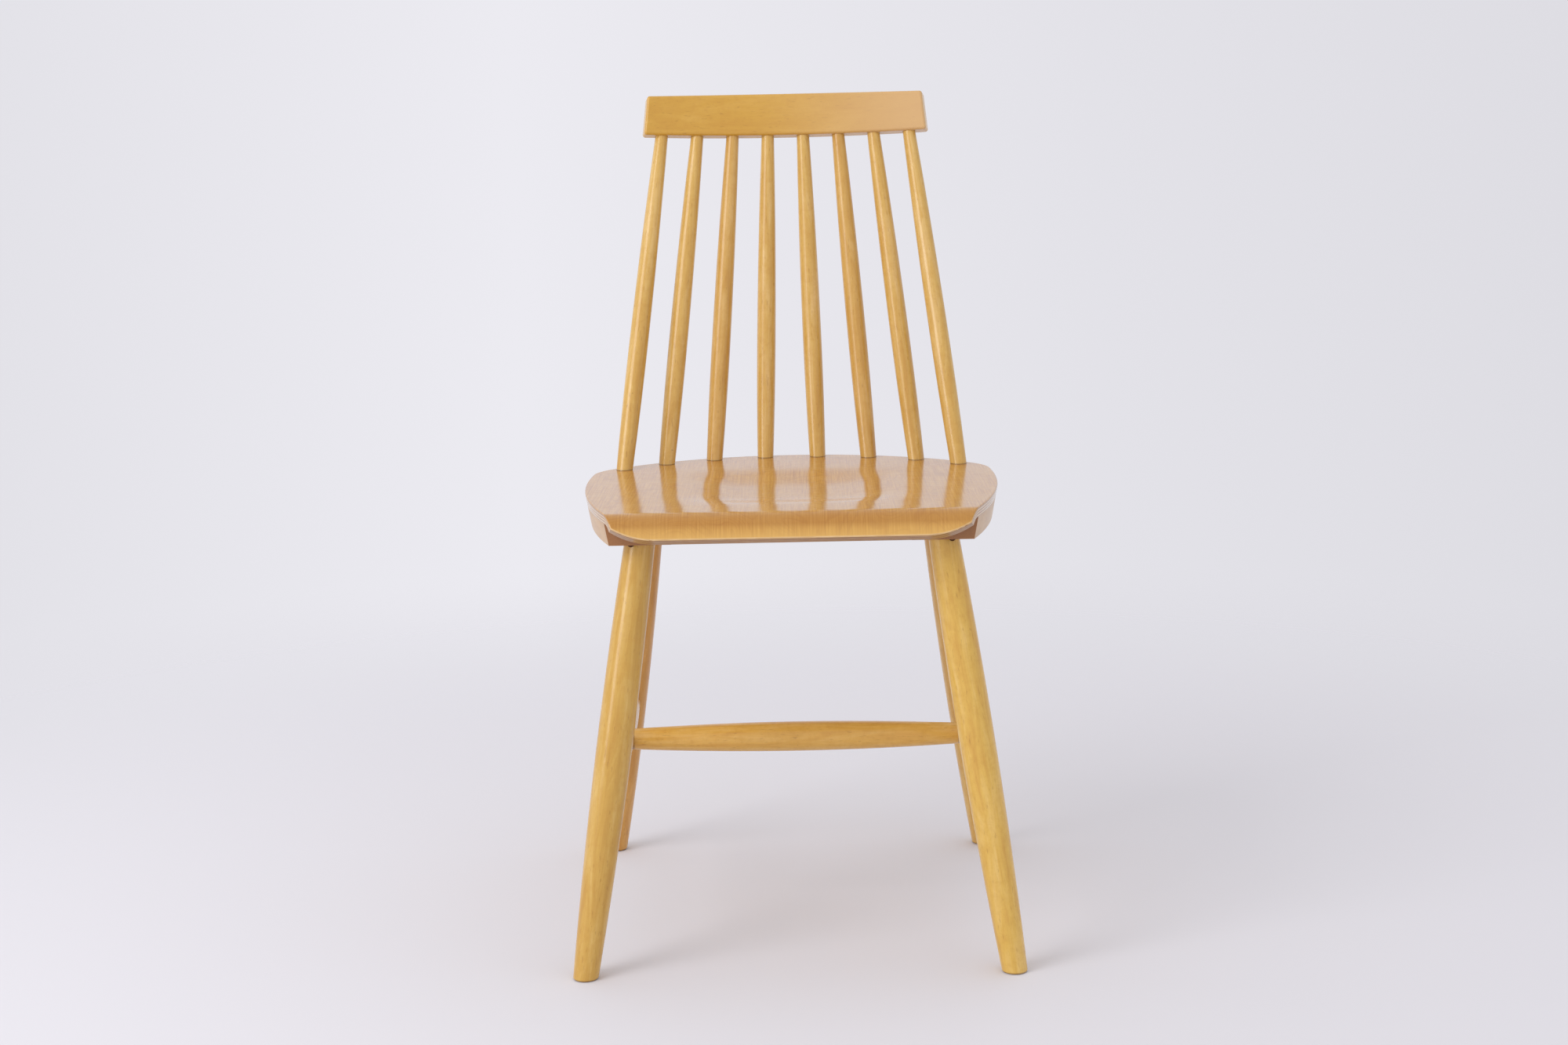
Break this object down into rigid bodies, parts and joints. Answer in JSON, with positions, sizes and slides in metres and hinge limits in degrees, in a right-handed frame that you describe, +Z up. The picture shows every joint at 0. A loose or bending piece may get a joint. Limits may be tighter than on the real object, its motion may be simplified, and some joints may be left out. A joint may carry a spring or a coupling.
{
  "type": "windsor chair",
  "caption": "Spindle-back side chair with a bowed crest rail, a dished plywood seat with a rolled front lip, splayed turned legs and an H stretcher.",
  "frame": {"origin": "on the floor, at the centre of the chair's plan: midway between its sides, and between the seat's front lip and the back of the crest rail", "axes": "+Z up, -Y toward the front of the chair, +X toward the right of a person who looks at its front"},
  "size_m": [0.4356, 0.4769, 0.8317],
  "materials": {
    "turned_wood": "clear satin lacquer on honey-coloured beech",
    "rail_wood": "clear satin lacquer on honey-coloured beech",
    "seat_ply": "clear gloss lacquer on moulded beech plywood",
    "bearer_wood": "clear satin lacquer on beech",
    "screw_metal": "dark bronzed"
  },
  "bodies": {
    "root": {"seat_shell": "seat_ply", "left_bearer": "bearer_wood", "right_bearer": "bearer_wood", "rear_bearer": "bearer_wood", "front_left_leg": "turned_wood", "front_right_leg": "turned_wood", "rear_left_leg": "turned_wood", "rear_right_leg": "turned_wood", "left_side_stretcher": "turned_wood", "right_side_stretcher": "turned_wood", "cross_stretcher": "turned_wood", "spindle_1": "turned_wood", "spindle_2": "turned_wood", "spindle_3": "turned_wood", "spindle_4": "turned_wood", "spindle_5": "turned_wood", "spindle_6": "turned_wood", "spindle_7": "turned_wood", "spindle_8": "turned_wood", "crest_rail": "rail_wood", "left_bearer_screws": "screw_metal", "right_bearer_screws": "screw_metal", "rear_bearer_screws": "screw_metal"}
  },
  "joints": []
}
